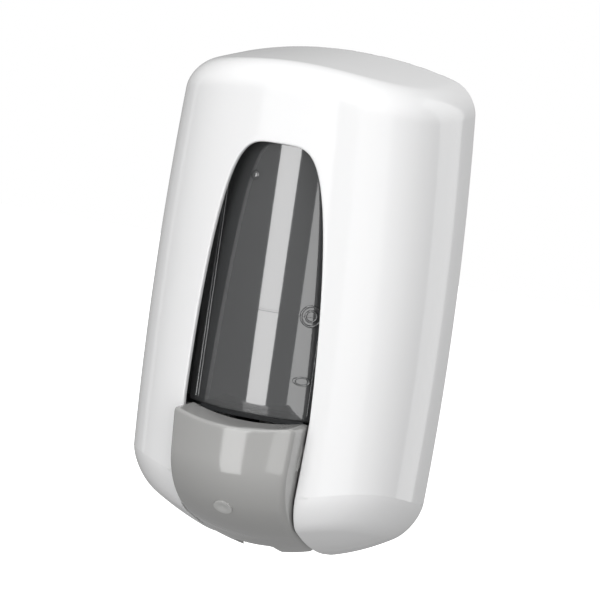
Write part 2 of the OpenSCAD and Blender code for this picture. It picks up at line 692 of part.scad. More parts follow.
// Place and tilt of the round badge, on the middle line of the pad's bend
badge_share = 0.47;
badge_r = 4.2;
badge_sink = 1.2;
bend_0 = [pad_front_d, pad_straight_z];
bend_1 = [pad_front_d, -85.5];
bend_2 = [pad_turn_d, bottom_face(0, pad_turn_d)];
badge_at = pow(1 - badge_share, 2) * bend_0 + 2 * badge_share * (1 - badge_share) * bend_1
    + pow(badge_share, 2) * bend_2;
badge_run = (1 - badge_share) * (bend_1 - bend_0) + badge_share * (bend_2 - bend_1);
badge_tilt = atan2(-badge_run[0], -badge_run[1]);
module at_badge() {
    translate([0, -badge_at[0], badge_at[1]]) rotate([90 + badge_tilt, 0, 0]) children();
}
module pad_arm() {
    along_x(pad_arm_x0, pad_arm_x1) union() {
        translate([pivot_d, pivot_z]) circle(r = 4.5);
        polygon([[pivot_d - 2, pivot_z + 4], [ledge_rear_d - 4, pad_top_z - 3.5],
            [ledge_rear_d, -62], [pivot_d - 4, pivot_z - 2]]);
    }
}
module push_pad() {
    color([0.62, 0.62, 0.61]) difference() {
        union() {
            difference() {
                pad_solid(0);
                pad_solid(pad_wall);
            }
            both_sides() pad_arm();
            intersection() {
                pad_solid(0);
                union() {
                    rod_x(-pusher_x, pusher_x, pusher_d, pump_z, pusher_r);
                    block(-pusher_x, pusher_x, pusher_d, pad_front_d, pump_z - pusher_half,
                        pump_z + pusher_half);
                }
            }
        }
        both_sides() rod_x(pad_arm_x0 - 1, pad_arm_x1 + 1, pivot_d, pivot_z, pin_r + fixed_gap);
        at_badge() translate([0, 0, -badge_sink]) cylinder(h = 6, r = badge_r);
        block(-prong_x0, prong_x0, pad_rear_d - 1, notch_front_d, bottom_z,
            nozzle_flange_z + 5);
        block(-pad_half - 1, pad_half + 1, pad_rear_d - 1, prong_front_d,
            bottom_face(pad_half, prong_front_d) + prong_h, pad_straight_z);
    }
}
module pad_badge() {
    color([0.7, 0.7, 0.69]) at_badge() difference() {
        translate([0, 0, -badge_sink]) cylinder(h = badge_sink + 0.5, r = badge_r - fixed_gap);
        translate([0, 0, 12.2]) sphere(r = 12);
    }
}
module pad_pins() {
    color([0.75, 0.76, 0.78]) both_sides() rod_x(ear_x0 - 0.5, pad_arm_x1, pivot_d, pivot_z, pin_r);
}

// Lock ------------------------------------------------------------------------------
cam_z = lock_boss_top_z + 1.5;
cam_t = 2.5;
cam_len = 14;
cam_half = 3.5;
module lock_barrel() {
    color([0.78, 0.79, 0.8]) in_left_wing() difference() {
        union() {
            rod_z(lock_seat_z - 2.5, lock_seat_z - 0.05, lock_x, lock_d, pocket_r - 0.5);
            rod_z(lock_seat_z - 0.1, cam_z, lock_x, lock_d, lock_r - run_gap);
        }
        difference() {
            rod_z(lock_boss_top_z + 0.2, lock_boss_top_z + 1.3, lock_x, lock_d, lock_r + 1);
            rod_z(lock_boss_top_z, lock_boss_top_z + 2, lock_x, lock_d, lock_r - 0.8);
        }
        // Key slot
        block(lock_x - 2.8, lock_x + 2.8, lock_d - 0.8, lock_d + 0.8, lock_seat_z - 3,
            lock_seat_z + 5);
        rod_z(lock_seat_z - 3, lock_seat_z + 5, lock_x, lock_d, 1.4);
        rod_z(cam_z - 5, cam_z + 1, lock_x, lock_d, 1.2 + fixed_gap);
    }
}
module lock_clip() {
    color([0.55, 0.56, 0.58]) in_left_wing() difference() {
        rod_z(lock_boss_top_z + 0.3, lock_boss_top_z + 1.2, lock_x, lock_d, 7.6);
        rod_z(lock_boss_top_z - 1, lock_boss_top_z + 2, lock_x, lock_d, lock_r - 0.75);
        block(lock_x - 2, lock_x + 2, lock_d, lock_d + 9, lock_boss_top_z - 1, lock_boss_top_z + 2);
    }
}
module lock_cam() {
    color([0.7, 0.71, 0.73]) in_left_wing() difference() {
        union() {
            rod_z(cam_z, cam_z + cam_t, lock_x, lock_d, 6);
            block(lock_x - cam_half, lock_x + cam_half, lock_d - cam_len + cam_half, lock_d, cam_z,
                cam_z + cam_t);
            rod_z(cam_z, cam_z + cam_t, lock_x, lock_d - cam_len + cam_half, cam_half);
        }
        rod_z(cam_z - 1, cam_z + cam_t + 1, lock_x, lock_d, 1.2 + 0.1);
    }
}
module lock_screw() {
    top = cam_z + cam_t;
    color([0.6, 0.61, 0.63]) in_left_wing() difference() {
        union() {
            rod_z(cam_z - 4.5, top, lock_x, lock_d, 1.2);
            rod_z(top, top + 1.6, lock_x, lock_d, 2.6);
        }
        block(lock_x - 2.6, lock_x + 2.6, lock_d - 0.35, lock_d + 0.35, top + 0.8, top + 2);
    }
}
keeper_screw_at = [[34, -74.5], [34, -89.5]];
module lock_keeper() {
    lip_d = lock_d + cam_half + 0.7;
    z0 = cam_z - 2.5;
    z1 = cam_z + cam_t + 2.5;
    color([0.72, 0.73, 0.75]) in_left_wing() difference() {
        union() {
            block(24.6, 38, plate_t, plate_t + 2, -93.5, -70.5);
            block(24.6, 27.2, plate_t, lip_d + 2.5, z0, z1);
            block(24.6, 32, lip_d, lip_d + 2.5, z0, z1);
        }
        for (s = keeper_screw_at)
            rod_y(plate_t - 1, plate_t + 3, s[0], s[1], small_screw_r + fixed_gap);
    }
}
module keeper_screws() {
    color([0.7, 0.71, 0.73]) in_left_wing()
        for (s = keeper_screw_at) screw_y(s[0], s[1], 0.6, plate_t + 2, small_screw_r, 3, 1.8);
}

back_plate();
pump_bracket();
bracket_screws();
tank();
tank_lid();
lid_gasket();
vent_plug();
tank_catch();
outlet_seal();
pump_body();
pump_screws();
ball_seat();
inlet_ball();
pump_cap();
rod_wiper();
piston();
piston_seal();
return_spring();
outlet_valve();
nozzle();
nozzle_collar();
push_pad();
pad_badge();
pad_pins();
cover();
hinge_rod();
hinge_clips();
lock_barrel();
lock_cam();
lock_clip();
lock_screw();
lock_keeper();
keeper_screws();
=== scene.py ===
import json
import math

import bpy
import bmesh
import numpy as np
from mathutils import Matrix, Vector

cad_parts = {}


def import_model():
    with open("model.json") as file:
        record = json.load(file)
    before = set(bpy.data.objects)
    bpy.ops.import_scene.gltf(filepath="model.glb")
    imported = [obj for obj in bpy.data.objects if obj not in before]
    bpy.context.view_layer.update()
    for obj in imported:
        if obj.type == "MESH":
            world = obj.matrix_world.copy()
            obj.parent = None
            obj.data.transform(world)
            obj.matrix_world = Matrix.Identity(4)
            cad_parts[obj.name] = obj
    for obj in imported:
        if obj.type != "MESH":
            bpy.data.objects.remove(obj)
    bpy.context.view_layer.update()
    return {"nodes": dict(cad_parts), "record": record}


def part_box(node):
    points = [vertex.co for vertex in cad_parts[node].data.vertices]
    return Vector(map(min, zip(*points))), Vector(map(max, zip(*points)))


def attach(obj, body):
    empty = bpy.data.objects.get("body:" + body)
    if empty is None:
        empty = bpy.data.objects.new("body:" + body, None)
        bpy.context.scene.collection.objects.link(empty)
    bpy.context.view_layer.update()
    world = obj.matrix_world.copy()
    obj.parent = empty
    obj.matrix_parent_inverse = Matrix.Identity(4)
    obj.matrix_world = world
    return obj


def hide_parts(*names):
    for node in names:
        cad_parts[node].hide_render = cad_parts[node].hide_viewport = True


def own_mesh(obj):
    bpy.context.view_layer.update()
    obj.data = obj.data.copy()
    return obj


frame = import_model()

nodes = frame["nodes"]
MM = 0.001
joints = {joint["name"]: joint for joint in frame["record"]["behaviour"]["joints"]}


# What the frame says, in mm. Depth is the distance from the wall, and _D is short for it.
def hinge_at(name):
    """A point (x, depth, z) on a hinge's axis."""
    x, y, z = joints[name]["pos_m"]
    return round(x / MM, 2), round(-y / MM, 2), round(z / MM, 2)


def depths(node):
    """Least and greatest depth of a CAD node."""
    low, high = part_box(node)
    return round(-high.y / MM, 2), round(-low.y / MM, 2)


def heights(node):
    """Lowest and highest z of a CAD node."""
    low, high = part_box(node)
    return round(low.z / MM, 2), round(high.z / MM, 2)


# Shape of the cover
BODY_W, BODY_D = 132.0, 83.0
TOP_Z, BOTTOM_Z = 119.5, -117.0
WALL, WALL_GAP = 3.0, 0.5
EDGE_R = 11.6
# How far the top has fallen and the underside has risen at DOME_X from the middle
TOP_DOME, BOTTOM_DOME, DOME_X = 10.8, 21.8, 60.0
TOP_FALL, BOTTOM_CLIMB, BOTTOM_CURVE = 0.1, 0.134, 0.00267
SLOT_W, SLOT_TOP, SLOT_LOW, SLOT_TAPER = 58.2, 76.3, -40.3, 0.056
ARCH_BEND, ARCH_POWER = 1.65, 0.23
BELLY_Z, HALF_H, BARREL, LEAN = -20.0, 112.0, 0.065, 0.06
SIDE_POWER, FRONT_POWER = 3.5, 3.2
# The top's back edge is round about the hinge, so that the cover can swing up by the wall
HINGE_D, HINGE_Z = hinge_at("cover_hinge")[1:]
HEEL_R, HEEL_WALL = HINGE_D - 0.3, 2.5


def level(z):
    """Height over the belly, where the cover is widest, in shares of HALF_H."""
    return (z - BELLY_Z) / HALF_H


def plan_w(z):
    """Half the cover's width at height z."""
    return BODY_W / 2 * (1 - BARREL * level(z) ** 2)


def plan_d(z):
    """Depth of the middle of the cover's front at height z."""
    return BODY_D * (1 + LEAN * level(z))


def top_face(x, d):
    """Height of the cover's top face."""
    return TOP_Z - TOP_DOME * (x / DOME_X) ** 2 - TOP_FALL * d


def bottom_face(x, d):
    """Height of the cover's underside, which the pad's tail follows."""
    return (BOTTOM_Z + BOTTOM_DOME * (x / DOME_X) ** 2 + BOTTOM_CLIMB * d
            + BOTTOM_CURVE * d * d)


def slot_half(z):
    """Half the slot's width at height z."""
    z = np.asarray(z, float)
    up = np.clip((z - SLOT_LOW) / (SLOT_TOP - SLOT_LOW), 0, 1)
    arch = SLOT_W / 2 * (1 - up ** ARCH_BEND) ** ARCH_POWER
    return np.where(z > SLOT_LOW, arch, SLOT_W / 2 - SLOT_TAPER * (SLOT_LOW - z))


# The plan outline in shares of the half width and the depth, and how far along it each point
# is: 0 at the middle of the front, 1 at the wall
OUTLINE_STEPS, LENGTH_SCALE = 3000, (63, 83)
half_way = 0.5 ** (1 / FRONT_POWER)
steps = np.linspace(0, half_way, OUTLINE_STEPS)
near_wall = np.c_[(1 - steps ** FRONT_POWER) ** (1 / SIDE_POWER), steps]
steps = np.linspace(0.5 ** (1 / SIDE_POWER), 0, OUTLINE_STEPS)[1:]
near_front = np.c_[steps, (1 - steps ** SIDE_POWER) ** (1 / FRONT_POWER)]
outline = np.concatenate([near_wall, near_front])[::-1]
run = np.r_[0, np.cumsum(np.hypot(*(np.diff(outline, axis=0) * LENGTH_SCALE).T))]
run /= run[-1]
# Rows of the skin where the bottom face, the bottom edge, the side and the top edge end
FACE_ROW, EDGE_ROW, SIDE_ROW, TOP_EDGE_ROW = 0.2, 0.3, 0.72, 0.82


def edge_levels(c0, c1):
    """Heights at which the side begins and ends at a point of the plan outline."""
    low_w, low_d = plan_w(BOTTOM_Z + EDGE_R), plan_d(BOTTOM_Z + EDGE_R)
    top_w, top_d = plan_w(TOP_Z - EDGE_R), plan_d(TOP_Z - EDGE_R)
    return (bottom_face(low_w * c0, low_d * c1) + EDGE_R,
            top_face(top_w * c0, top_d * c1) - EDGE_R)


def skin(q, row, inset):
    """Points (x, depth, z) of the skin, moved inwards by inset. A row starts at the middle of
    the bottom's back edge, runs out over the bottom face, up the side at share q of the plan
    outline, and over the top face to the middle of the top's back edge."""
    q, row = np.broadcast_arrays(np.asarray(q, float), np.asarray(row, float))
    c0, c1 = np.interp(q, run, outline[:, 0]), np.interp(q, run, outline[:, 1])
    low, high = edge_levels(c0, c1)
    up = row > (EDGE_ROW + SIDE_ROW) / 2
    turn = np.where(up, np.clip((row - SIDE_ROW) / (TOP_EDGE_ROW - SIDE_ROW), 0, 1),
                    np.clip((EDGE_ROW - row) / (EDGE_ROW - FACE_ROW), 0, 1)) * math.pi / 2
    share = np.where(up, np.clip((1 - row) / (1 - TOP_EDGE_ROW), 0, 1),
                     np.clip(row / FACE_ROW, 0, 1))
    side = np.clip((row - EDGE_ROW) / (SIDE_ROW - EDGE_ROW), 0, 1)
    z0 = low + (high - low) * side
    r = EDGE_R - inset
    shrink = inset + r * (1 - np.cos(turn))
    x = (plan_w(z0) - shrink) * c0 * share
    d = WALL_GAP + (plan_d(z0) - WALL_GAP - shrink) * c1 * share
    z = np.where(up, top_face(x, d) - inset - r * (1 - np.sin(turn)),
                 bottom_face(x, d) + inset + r * (1 - np.sin(turn)))
    z = np.where(turn == 0, z0, z)
    reach = HEEL_R - (HEEL_WALL if inset > 0 else 0)
    back, rise = d - HINGE_D, z - HINGE_Z
    heel = (back < 0) & (rise > 0) & (np.hypot(back, rise) > reach)
    z = np.where(heel, HINGE_Z + np.sqrt(np.maximum(0, reach ** 2 - back ** 2)), z)
    return np.stack([x, d, z], -1)


def world(points):
    """Points (x, depth, z) in mm as points of the frame in metres."""
    p = np.asarray(points, float)
    return np.stack([p[..., 0], -p[..., 1], p[..., 2]], -1) * MM


# Mesh helpers ------------------------------------------------------------------------
# Points closer than MERGE_M become one, and edges shorter than SLIVER_M go, in metres
MERGE_M, SLIVER_M = 2e-6, 1e-7
# A solid profile ends this near to the axis, in mm, where its ring merges into one point
AXIS_R = 0.001


def mesh_object(name, points, faces):
    mesh = bpy.data.meshes.new(name)
    mesh.from_pydata([tuple(p) for p in points], [], [tuple(f) for f in faces])
    bm = bmesh.new()
    bm.from_mesh(mesh)
    bmesh.ops.remove_doubles(bm, verts=bm.verts, dist=MERGE_M)
    bmesh.ops.dissolve_degenerate(bm, edges=bm.edges, dist=SLIVER_M)
    bmesh.ops.recalc_face_normals(bm, faces=bm.faces)
    bm.to_mesh(mesh)
    bm.free()
    obj = bpy.data.objects.new(name, mesh)
    bpy.context.scene.collection.objects.link(obj)
    return obj


def tube(name, loops, closed_ends=True):
    """A mesh through closed loops of equal length."""
    loops = np.asarray(loops, float)
    n, m = loops.shape[:2]
    faces = [(i * m + j, i * m + (j + 1) % m, (i + 1) * m + (j + 1) % m, (i + 1) * m + j)
             for i in range(n - 1) for j in range(m)]
    if closed_ends:
        faces += [tuple(range(m))[::-1], tuple((n - 1) * m + j for j in range(m))]
    return mesh_object(name, loops.reshape(-1, 3), faces)


def settle(obj):
    """Turns the object's modifiers into its mesh."""
    bpy.context.view_layer.update()
    shape = bpy.data.meshes.new_from_object(
        obj.evaluated_get(bpy.context.evaluated_depsgraph_get()))
    obj.modifiers.clear()
    obj.data = shape
    return obj


def boolean(obj, other, how):
    """Adds or cuts the other object, which is used up."""
    mod = obj.modifiers.new(how, "BOOLEAN")
    mod.operation, mod.solver, mod.object = how, "EXACT", other
    settle(obj)
    bpy.data.objects.remove(other)
    return obj


def bevel(obj, width, segments, angle=35):
    mod = obj.modifiers.new("bevel", "BEVEL")
    mod.width, mod.segments = width * MM, segments
    mod.limit_method, mod.angle_limit = "ANGLE", math.radians(angle)
    return obj


def smooth(obj, angle=32):
    obj.data.polygons.foreach_set("use_smooth", [True] * len(obj.data.polygons))
    obj.data.set_sharp_from_angle(angle=math.radians(angle))
    return obj


def box(name, x0, x1, d0, d1, z0, z1):
    corners = [(x, -d, z) for x in (x0, x1) for d in (d0, d1) for z in (z0, z1)]
    faces = [(0, 1, 3, 2), (4, 6, 7, 5), (0, 4, 5, 1), (2, 3, 7, 6), (0, 2, 6, 4), (1, 5, 7, 3)]
    return mesh_object(name, np.array(corners) * MM, faces)


def lathe(name, profile, at, axis, sides=72):
    """A closed profile of (radius, along) turned about an axis through at (x, depth, z)."""
    turn = np.linspace(0, 2 * math.pi, sides, endpoint=False)
    loops = []
    for t in turn:
        ring = []
        for r, along in profile:
            a, b = r * math.cos(t), r * math.sin(t)
            offset = {"x": (along, a, b), "y": (a, along, b), "z": (a, b, along)}[axis]
            ring.append([at[0] + offset[0], at[1] + offset[1], at[2] + offset[2]])
        loops.append(ring)
    loops.append(loops[0])
    return tube(name, world(loops), closed_ends=False)


def rod(name, r, start, end, at, axis, sides=72):
    """A plain cylinder about an axis through at."""
    return lathe(name, [(AXIS_R, start), (r, start), (r, end), (AXIS_R, end)], at, axis, sides)


def unit(v):
    return v / max(np.linalg.norm(v), 1e-9)


def corner(a, tip, b, n=5):
    """Points of a rounded corner from a to b with its sharp tip at tip, ends left out."""
    k = np.linspace(0, 1, n + 2)[1:-1, None]
    return (1 - k) ** 2 * a + 2 * k * (1 - k) * tip + k ** 2 * b


# Materials ---------------------------------------------------------------------------
# Range of the noise that the tone spans, height of the relief, and the least roughness
TONE_FROM, TONE_TO, RELIEF_M, SMOOTHEST = 0.3, 0.7, 0.0002, 0.02


def material(name, colour, rough, spread=0.04, grain=900.0, bump=0.02, metallic=0.0,
             ior=1.5, alpha=1.0, stretch=(1, 1, 1), cloud=45.0, rough_spread=0.05, gloss=0.5):
    """A material with a soft cloud in its tone and roughness, and a fine grain as relief."""
    mat = bpy.data.materials.new(name)
    mat.use_nodes = True
    tree = mat.node_tree
    shader = tree.nodes["Principled BSDF"]
    link, new = tree.links.new, tree.nodes.new
    place = new("ShaderNodeTexCoord")
    mapping = new("ShaderNodeMapping")
    mapping.inputs["Scale"].default_value = stretch
    link(place.outputs["Object"], mapping.inputs["Vector"])
    tone = new("ShaderNodeTexNoise")
    tone.inputs["Scale"].default_value = cloud
    tone.inputs["Detail"].default_value = 3
    fine = new("ShaderNodeTexNoise")
    fine.inputs["Scale"].default_value = grain
    fine.inputs["Detail"].default_value = 2
    for noise in (tone, fine):
        link(mapping.outputs["Vector"], noise.inputs["Vector"])
    ramp = new("ShaderNodeValToRGB")
    dark, light = ramp.color_ramp.elements
    dark.position, light.position = TONE_FROM, TONE_TO
    dark.color = [c * (1 - spread) for c in colour] + [1]
    light.color = [min(1, c * (1 + spread)) for c in colour] + [1]
    link(tone.outputs["Fac"], ramp.inputs["Fac"])
    link(ramp.outputs["Color"], shader.inputs["Base Color"])
    span = new("ShaderNodeMapRange")
    span.inputs["To Min"].default_value = max(SMOOTHEST, rough - rough_spread)
    span.inputs["To Max"].default_value = min(1.0, rough + rough_spread)
    link(tone.outputs["Fac"], span.inputs["Value"])
    link(span.outputs["Result"], shader.inputs["Roughness"])
    relief = new("ShaderNodeBump")
    relief.inputs["Strength"].default_value = bump
    relief.inputs["Distance"].default_value = RELIEF_M
    link(fine.outputs["Fac"], relief.inputs["Height"])
    link(relief.outputs["Normal"], shader.inputs["Normal"])
    shader.inputs["Metallic"].default_value = metallic
    shader.inputs["IOR"].default_value = ior
    shader.inputs["Alpha"].default_value = alpha
    shader.inputs["Specular IOR Level"].default_value = gloss
    return mat


looks = {
    "cover_white": material("cover_white", (0.80, 0.80, 0.803), 0.08, 0.006, 500, 0.003,
                            rough_spread=0.015, cloud=18, gloss=0.24),
    "plate_white": material("plate_white", (0.78, 0.78, 0.77), 0.42, 0.02, 1600, 0.06),
    "pump_white": material("pump_white", (0.80, 0.80, 0.77), 0.36, 0.02, 1300, 0.04),
    "pad_grey": material("pad_grey", (0.355, 0.353, 0.346), 0.1, 0.012, 1500, 0.006,
                         ior=1.58, rough_spread=0.02, cloud=25),
    # The badge's grey is lighter than the pad's as painted highlight: it stands in for the bright
    # glint on the pad's raised mark.
    "badge_grey": material("badge_grey", (0.46, 0.46, 0.45), 0.2, 0.02, 1500, 0.02, ior=1.58),
    "tank_smoke": material("tank_smoke", (0.075, 0.077, 0.079), 0.06, 0.05, 240, 0.005,
                           ior=2.3, alpha=0.8, rough_spread=0.015, cloud=20),
    "lid_smoke": material("lid_smoke", (0.07, 0.072, 0.075), 0.16, 0.05, 700, 0.02, ior=1.6,
                          alpha=0.75),
    "dark_plastic": material("dark_plastic", (0.035, 0.038, 0.041), 0.42, 0.08, 1500, 0.06),
    "nozzle_grey": material("nozzle_grey", (0.26, 0.26, 0.26), 0.4, 0.04, 1500, 0.04),
    "rubber_black": material("rubber_black", (0.018, 0.018, 0.018), 0.72, 0.15, 2200, 0.12),
    "silicone": material("silicone", (0.66, 0.64, 0.58), 0.45, 0.04, 1500, 0.05),
    "steel": material("steel", (0.62, 0.63, 0.66), 0.27, 0.05, 1500, 0.03, metallic=1.0,
                      stretch=(1, 1, 9)),
    "steel_ball": material("steel_ball", (0.70, 0.71, 0.73), 0.12, 0.03, 1500, 0.01,
                           metallic=1.0),
    "lock_metal": material("lock_metal", (0.68, 0.69, 0.71), 0.18, 0.04, 1800, 0.03,
                           metallic=1.0),
}


def dress(obj, slot, body):
    obj.data.materials.clear()
    obj.data.materials.append(looks[slot])
    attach(obj, body)
    return obj


# Cover -------------------------------------------------------------------------------
# Round corners of the wall: at the slot outside and inside, and at the rim
LIP_R, INNER_LIP_R, RIM_R = 0.9, 0.4, 0.45
ACROSS, ARCH_N, ARCH_STEPS, START_STEPS, HALVINGS = 76, 120, 1500, 400, 50
FACE_STEPS, EDGE_STEPS, SIDE_STEPS = 30, 18, 26
# Share of the arch's height up to which its outline is stepped by height, then by width
ARCH_SPLIT = 0.93
# About the length of half the plan outline, which makes RIM_R a share of it
OUTLINE_LENGTH = 120.0
# The rim's end of the loops over the arch: at these shares of the arch it is on these rows,
# after the slot's own. From RIM_TURN on it stays at the middle of the top's back edge.
RIM_TURN = 0.9
RIM_SHARES, RIM_ROWS = (0, 0.5, 0.72, RIM_TURN), (0.62, 0.76, 1.0)


def arch_outline(n):
    """The arch's right half from its foot to its top, evenly spaced, with its normals."""
    w = np.linspace(0, ARCH_SPLIT, ARCH_STEPS)
    foot = np.c_[SLOT_W / 2 * (1 - w ** ARCH_BEND) ** ARCH_POWER,
                 SLOT_LOW + (SLOT_TOP - SLOT_LOW) * w]
    x = np.linspace(foot[-1, 0], 0, ARCH_STEPS)[1:]
    rise = (1 - (x / (SLOT_W / 2)) ** (1 / ARCH_POWER)) ** (1 / ARCH_BEND)
    line = np.concatenate([foot, np.c_[x, SLOT_LOW + (SLOT_TOP - SLOT_LOW) * rise]])
    length = np.r_[0, np.cumsum(np.hypot(*np.diff(line, axis=0).T))]
    even = np.linspace(0, length[-1], n)
    at = np.c_[np.interp(even, length, line[:, 0]), np.interp(even, length, line[:, 1])]
    step = np.gradient(at, axis=0)
    normal = np.c_[step[:, 1], -step[:, 0]]
    normal /= np.linalg.norm(normal, axis=1)[:, None]
    normal[-1] = (0, 1)
    return at, normal


arch, arch_normal = arch_outline(ARCH_N)


def arch_place(inset, offset):
    """Shares (q, row) on the skin of the arch's outline moved outwards by offset."""
    x, z = (arch + arch_normal * offset).T
    x = np.maximum(x, 0)
    q = np.interp(x / (plan_w(z) - inset), outline[:, 0], run)
    low, high = edge_levels(np.interp(q, run, outline[:, 0]), np.interp(q, run, outline[:, 1]))
    return q, EDGE_ROW + (SIDE_ROW - EDGE_ROW) * (z - low) / (high - low)


def below_place(rows, inset, offset):
    """Shares q of the slot's right edge on rows below the arch, by halving."""
    low, high = np.zeros_like(rows), np.ones_like(rows)
    for _ in range(HALVINGS):
        mid = (low + high) / 2
        p = skin(mid, rows, inset)
        past = p[:, 0] > slot_half(p[:, 2]) + offset
        high, low = np.where(past, mid, high), np.where(past, low, mid)
    return (low + high) / 2


def slot_place(inset, offset):
    """Shares (q, row) of the slot's right edge, from the back edge forward and up."""
    q_arch, row_arch = arch_place(inset, offset)
    first_rows = np.linspace(0, FACE_ROW, START_STEPS)
    rim = skin(np.ones(START_STEPS), first_rows, inset)
    start = first_rows[np.argmax(rim[:, 0] > slot_half(rim[:, 2]) + offset)]
    rows = np.concatenate([np.linspace(start, FACE_ROW, FACE_STEPS),
                           np.linspace(FACE_ROW, EDGE_ROW, EDGE_STEPS)[1:],
                           np.linspace(EDGE_ROW, row_arch[0], SIDE_STEPS)[1:-1]])
    return np.r_[below_place(rows, inset, offset), q_arch], np.r_[rows, row_arch]


def cover_half():
    """Closed loops of the right half: from the rim over the outer skin to the slot's edge,
    round its lips, back over the inner face, and round the rim."""
    outer_q, outer_row = slot_place(0, LIP_R)
    tip_q, tip_row = slot_place(0, 0)
    inner_q, inner_row = slot_place(WALL, INNER_LIP_R)
    inner_tip_q, inner_tip_row = slot_place(WALL, 0)
    below = len(outer_q) - ARCH_N
    f = np.linspace(0, 1, ARCH_N)
    to_row = np.interp(f, RIM_SHARES, (outer_row[below],) + RIM_ROWS)
    to_q = np.interp(f, [RIM_TURN, 1], [1.0, 0.0])
    rim_row = np.r_[outer_row[:below], to_row]
    rim_q = np.r_[np.ones(below), to_q]
    rim_share = 1 - RIM_R / OUTLINE_LENGTH
    k = np.linspace(0, 1, ACROSS)
    loops = []
    for i in range(len(outer_q)):
        end_q = rim_q[i] * rim_share
        out = skin(end_q + (outer_q[i] - end_q) * k,
                   rim_row[i] + (outer_row[i] - rim_row[i]) * k, 0)
        end_row = rim_row[i] if i >= below else inner_row[i]
        inn = skin(inner_q[i] + (end_q - inner_q[i]) * k,
                   inner_row[i] + (end_row - inner_row[i]) * k, WALL)
        tip = skin(tip_q[i], tip_row[i], 0)
        inner_tip = skin(inner_tip_q[i], inner_tip_row[i], WALL)
        wall = unit(inner_tip - tip)
        a, b = tip + wall * LIP_R, inner_tip - wall * INNER_LIP_R
        rim, inner_rim = skin(rim_q[i], rim_row[i], 0), skin(rim_q[i], end_row, WALL)
        back = unit(inner_rim - rim)
        c, e = rim + back * RIM_R, inner_rim - back * RIM_R
        loops.append(np.vstack([out, corner(out[-1], tip, a), a, b,
                                corner(b, inner_tip, inn[0], 3), inn,
                                corner(inn[-1], inner_rim, e, 3), e, c,
                                corner(c, rim, out[0], 3)]))
    return np.array(loops)


# Notches for the hinge's eyes, in |x|, depth and z
EYE_X, EYE_D, EYE_Z = (7.0, 14.5), (-1.0, 5.9), (98.8, 121.0)
LOCK_X, LOCK_D = hinge_at("lock_turn")[:2]
POCKET_R, POCKET_Z = 7.5, (-120.0, -80.0)

half = cover_half()
mirrored = half[-2::-1] * [-1, 1, 1]
cover = tube("cover_shell", world(np.concatenate([half, mirrored])))
for side in (-1, 1):
    x0, x1 = sorted(side * x for x in EYE_X)
    boolean(cover, box("notch", x0, x1, *EYE_D, *EYE_Z), "DIFFERENCE")
boolean(cover, rod("pocket", POCKET_R, *POCKET_Z, (LOCK_X, LOCK_D, 0), "z"), "DIFFERENCE")
smooth(cover, 38)
dress(cover, "cover_white", "cover")
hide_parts("cover")

# The lock's boss stands on the inside of the cover. Its low end follows the cover's wall.
SEAT_Z, BOSS_TOP, BOSS_LOW, BOSS_SIDES = -93.0, -85.0, -104.0, 96
BARREL_R, BOSS_R = 6.05, 10.0
boss = lathe("lock_boss", [(POCKET_R, BOSS_LOW), (POCKET_R, SEAT_Z), (BARREL_R, SEAT_Z),
                           (BARREL_R, BOSS_TOP - 0.4), (6.4, BOSS_TOP), (9.6, BOSS_TOP),
                           (BOSS_R, BOSS_TOP - 0.5), (BOSS_R, BOSS_LOW)],
             (LOCK_X, LOCK_D, 0), "z", BOSS_SIDES)
for vertex in boss.data.vertices:
    if vertex.co.z < (BOSS_LOW + 1.5) * MM:
        vertex.co.z = (bottom_face(vertex.co.x / MM, -vertex.co.y / MM) + WALL / 2) * MM
dress(smooth(boss), "cover_white", "cover")

# Knuckles on the hinge's rod, each with a web up to the cover's top
SIDES = ((-1, "left"), (1, "right"))
KNUCKLE_X, KNUCKLE_HALF, KNUCKLE_SIDES = 17.0, 3.0, 64
KNUCKLE_PROFILE = [(1.55, -KNUCKLE_HALF), (1.55, KNUCKLE_HALF), (2.9, KNUCKLE_HALF), (3.3, 2.6),
                   (3.3, -2.6), (2.9, -KNUCKLE_HALF)]
WEB_D, WEB_Z = (HINGE_D - 2.4, HINGE_D + 3.2), (HINGE_Z + 2.2, HINGE_Z + 4.6)
for side, word in SIDES:
    at = (side * KNUCKLE_X, HINGE_D, HINGE_Z)
    knuckle = lathe("knuckle_" + word, KNUCKLE_PROFILE, at, "x", KNUCKLE_SIDES)
    web = box("web", at[0] - KNUCKLE_HALF, at[0] + KNUCKLE_HALF, *WEB_D, *WEB_Z)
    boolean(knuckle, web, "UNION")
    dress(smooth(knuckle), "cover_white", "cover")

# Push pad ----------------------------------------------------------------------------
PAD_REAR, PAD_FRONT = depths("push_pad")
PAD_HALF, PAD_BOW, PAD_TOP, PAD_DIP = 27.0, 7.0, -41.7, 3.0
PAD_EDGE, PAD_GAP, PAD_WALL, LEDGE_REAR, TURN_D = 2.5, 1.0, 3.0, 82.0, 58.0
PRONG_FRONT, PRONG_H, PRONG_X, NOTCH_FRONT = 46.0, 4.5, 9.3, 44.5
STRAIGHT_Z, BEND_Z, BEND_DIP, LEDGE_R = -60.0, -82.0, 3.5, 2.0
PIVOT_D, PIVOT_Z = hinge_at("pad_pivot")[1:]
# How far the hollow runs past the pivot and the tail, and other cutters past what they cut
OPEN_END, PAST = 8.0, 1.0


